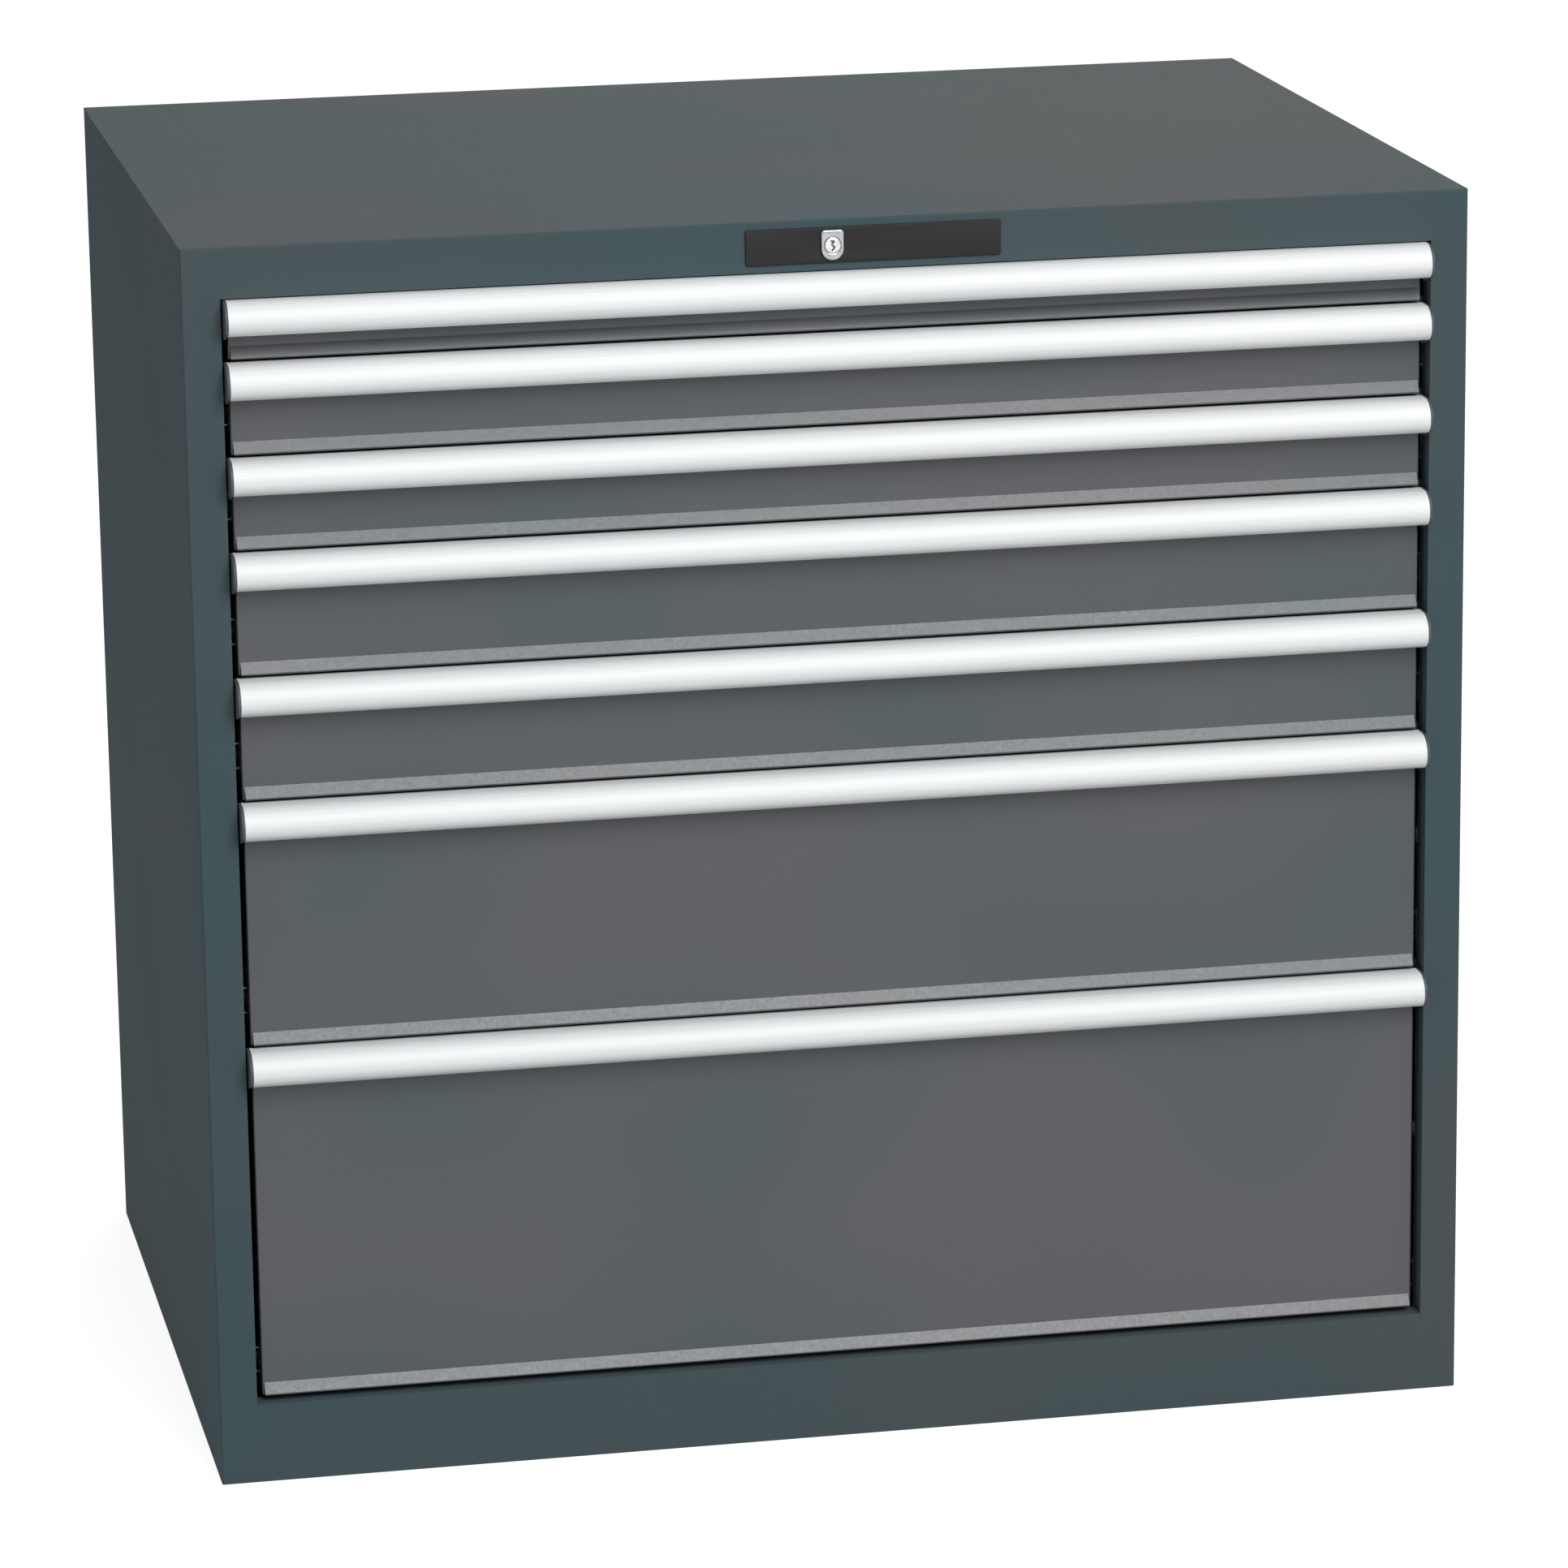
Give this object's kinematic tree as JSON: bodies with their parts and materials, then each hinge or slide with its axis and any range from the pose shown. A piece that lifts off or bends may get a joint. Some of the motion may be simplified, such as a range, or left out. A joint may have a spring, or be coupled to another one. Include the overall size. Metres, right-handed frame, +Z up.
{
  "type": "drawer cabinet",
  "caption": "Anthracite sheet-steel drawer cabinet with full-width aluminium handles on telescopic runners, a central lock and an earthing stud.",
  "frame": {"origin": "on the floor, at the middle of the footprint measured over the handles", "axes": "+X to the right seen from the front, the drawers open towards -Y, +Z up"},
  "size_m": [1.023, 0.743, 1],
  "materials": {
    "housing_paint": "satin powder coat",
    "front_paint": "satin powder coat",
    "drawer_paint": "satin powder coat",
    "handle_aluminium": "clear anodised",
    "cap_plastic": "moulded, fine grain",
    "cover_plastic": "moulded, fine grain",
    "escutcheon_chrome": "satin chrome",
    "lock_metal": "nickel plate",
    "zinc_steel": "bright zinc plate",
    "roller_plastic": "turned polyamide",
    "stud_brass": "nickel-plated brass"
  },
  "bodies": {
    "housing": {"side_panel_left": "housing_paint", "side_panel_right": "housing_paint", "top_panel": "housing_paint", "back_panel": "housing_paint", "base_pan": "housing_paint", "plinth_front": "housing_paint", "uprights": "zinc_steel", "guide_rails": "zinc_steel", "guide_rollers": "roller_plastic", "lock_cover": "cover_plastic", "lock_escutcheon": "escutcheon_chrome", "lock_housing": "lock_metal", "bar_guides": "zinc_steel", "earth_stud": "stud_brass"},
    "lock_plug": {"lock_cylinder": "lock_metal", "lock_crank": "zinc_steel"},
    "draw_bar": {"lock_draw_bar": "zinc_steel"},
    "lock_bar": {"locking_bar": "zinc_steel"},
    "drawer_1": {"drawer_1_pan": "drawer_paint", "drawer_1_front": "front_paint", "drawer_1_handle": "handle_aluminium", "drawer_1_end_caps": "cap_plastic", "drawer_1_rollers": "roller_plastic"},
    "carriage_1": {"drawer_1_carriage": "zinc_steel"},
    "drawer_2": {"drawer_2_pan": "drawer_paint", "drawer_2_front": "front_paint", "drawer_2_handle": "handle_aluminium", "drawer_2_end_caps": "cap_plastic", "drawer_2_rollers": "roller_plastic"},
    "carriage_2": {"drawer_2_carriage": "zinc_steel"},
    "drawer_3": {"drawer_3_pan": "drawer_paint", "drawer_3_front": "front_paint", "drawer_3_handle": "handle_aluminium", "drawer_3_end_caps": "cap_plastic", "drawer_3_rollers": "roller_plastic"},
    "carriage_3": {"drawer_3_carriage": "zinc_steel"},
    "drawer_4": {"drawer_4_pan": "drawer_paint", "drawer_4_front": "front_paint", "drawer_4_handle": "handle_aluminium", "drawer_4_end_caps": "cap_plastic", "drawer_4_rollers": "roller_plastic"},
    "carriage_4": {"drawer_4_carriage": "zinc_steel"},
    "drawer_5": {"drawer_5_pan": "drawer_paint", "drawer_5_front": "front_paint", "drawer_5_handle": "handle_aluminium", "drawer_5_end_caps": "cap_plastic", "drawer_5_rollers": "roller_plastic"},
    "carriage_5": {"drawer_5_carriage": "zinc_steel"},
    "drawer_6": {"drawer_6_pan": "drawer_paint", "drawer_6_front": "front_paint", "drawer_6_handle": "handle_aluminium", "drawer_6_end_caps": "cap_plastic", "drawer_6_rollers": "roller_plastic"},
    "carriage_6": {"drawer_6_carriage": "zinc_steel"},
    "drawer_7": {"drawer_7_pan": "drawer_paint", "drawer_7_front": "front_paint", "drawer_7_handle": "handle_aluminium", "drawer_7_end_caps": "cap_plastic", "drawer_7_rollers": "roller_plastic"},
    "carriage_7": {"drawer_7_carriage": "zinc_steel"}
  },
  "joints": [
    {"name": "lock_turn", "type": "hinge", "parent": "housing", "child": "lock_plug", "pos_m": [-0.003, -0.3535, 0.98], "axis": [0, 1, 0], "range_deg": [0, 90]},
    {"name": "draw_bar_slide", "type": "slide", "parent": "housing", "child": "draw_bar", "axis": [-1, 0, 0], "range_m": [0, 0.01414]},
    {"name": "lock_bar_slide", "type": "slide", "parent": "housing", "child": "lock_bar", "axis": [0, 0, 1], "range_m": [0, 0.01415]},
    {"name": "drawer_1_slide", "type": "slide", "parent": "housing", "child": "drawer_1", "axis": [0, -1, 0], "range_m": [0, 0.638]},
    {"name": "carriage_1_slide", "type": "slide", "parent": "housing", "child": "carriage_1", "axis": [0, -1, 0], "range_m": [0, 0.32]},
    {"name": "drawer_2_slide", "type": "slide", "parent": "housing", "child": "drawer_2", "axis": [0, -1, 0], "range_m": [0, 0.638]},
    {"name": "carriage_2_slide", "type": "slide", "parent": "housing", "child": "carriage_2", "axis": [0, -1, 0], "range_m": [0, 0.32]},
    {"name": "drawer_3_slide", "type": "slide", "parent": "housing", "child": "drawer_3", "axis": [0, -1, 0], "range_m": [0, 0.638]},
    {"name": "carriage_3_slide", "type": "slide", "parent": "housing", "child": "carriage_3", "axis": [0, -1, 0], "range_m": [0, 0.32]},
    {"name": "drawer_4_slide", "type": "slide", "parent": "housing", "child": "drawer_4", "axis": [0, -1, 0], "range_m": [0, 0.638]},
    {"name": "carriage_4_slide", "type": "slide", "parent": "housing", "child": "carriage_4", "axis": [0, -1, 0], "range_m": [0, 0.32]},
    {"name": "drawer_5_slide", "type": "slide", "parent": "housing", "child": "drawer_5", "axis": [0, -1, 0], "range_m": [0, 0.638]},
    {"name": "carriage_5_slide", "type": "slide", "parent": "housing", "child": "carriage_5", "axis": [0, -1, 0], "range_m": [0, 0.32]},
    {"name": "drawer_6_slide", "type": "slide", "parent": "housing", "child": "drawer_6", "axis": [0, -1, 0], "range_m": [0, 0.638]},
    {"name": "carriage_6_slide", "type": "slide", "parent": "housing", "child": "carriage_6", "axis": [0, -1, 0], "range_m": [0, 0.32]},
    {"name": "drawer_7_slide", "type": "slide", "parent": "housing", "child": "drawer_7", "axis": [0, -1, 0], "range_m": [0, 0.638]},
    {"name": "carriage_7_slide", "type": "slide", "parent": "housing", "child": "carriage_7", "axis": [0, -1, 0], "range_m": [0, 0.32]}
  ],
  "couplings": [
    {"joint": "lock_turn", "follows": "draw_bar_slide", "rad_per_m": 111.11},
    {"joint": "lock_bar_slide", "follows": "draw_bar_slide", "ratio": 1},
    {"joint": "carriage_1_slide", "follows": "drawer_1_slide", "ratio": 0.5},
    {"joint": "carriage_2_slide", "follows": "drawer_2_slide", "ratio": 0.5},
    {"joint": "carriage_3_slide", "follows": "drawer_3_slide", "ratio": 0.5},
    {"joint": "carriage_4_slide", "follows": "drawer_4_slide", "ratio": 0.5},
    {"joint": "carriage_5_slide", "follows": "drawer_5_slide", "ratio": 0.5},
    {"joint": "carriage_6_slide", "follows": "drawer_6_slide", "ratio": 0.5},
    {"joint": "carriage_7_slide", "follows": "drawer_7_slide", "ratio": 0.5}
  ]
}
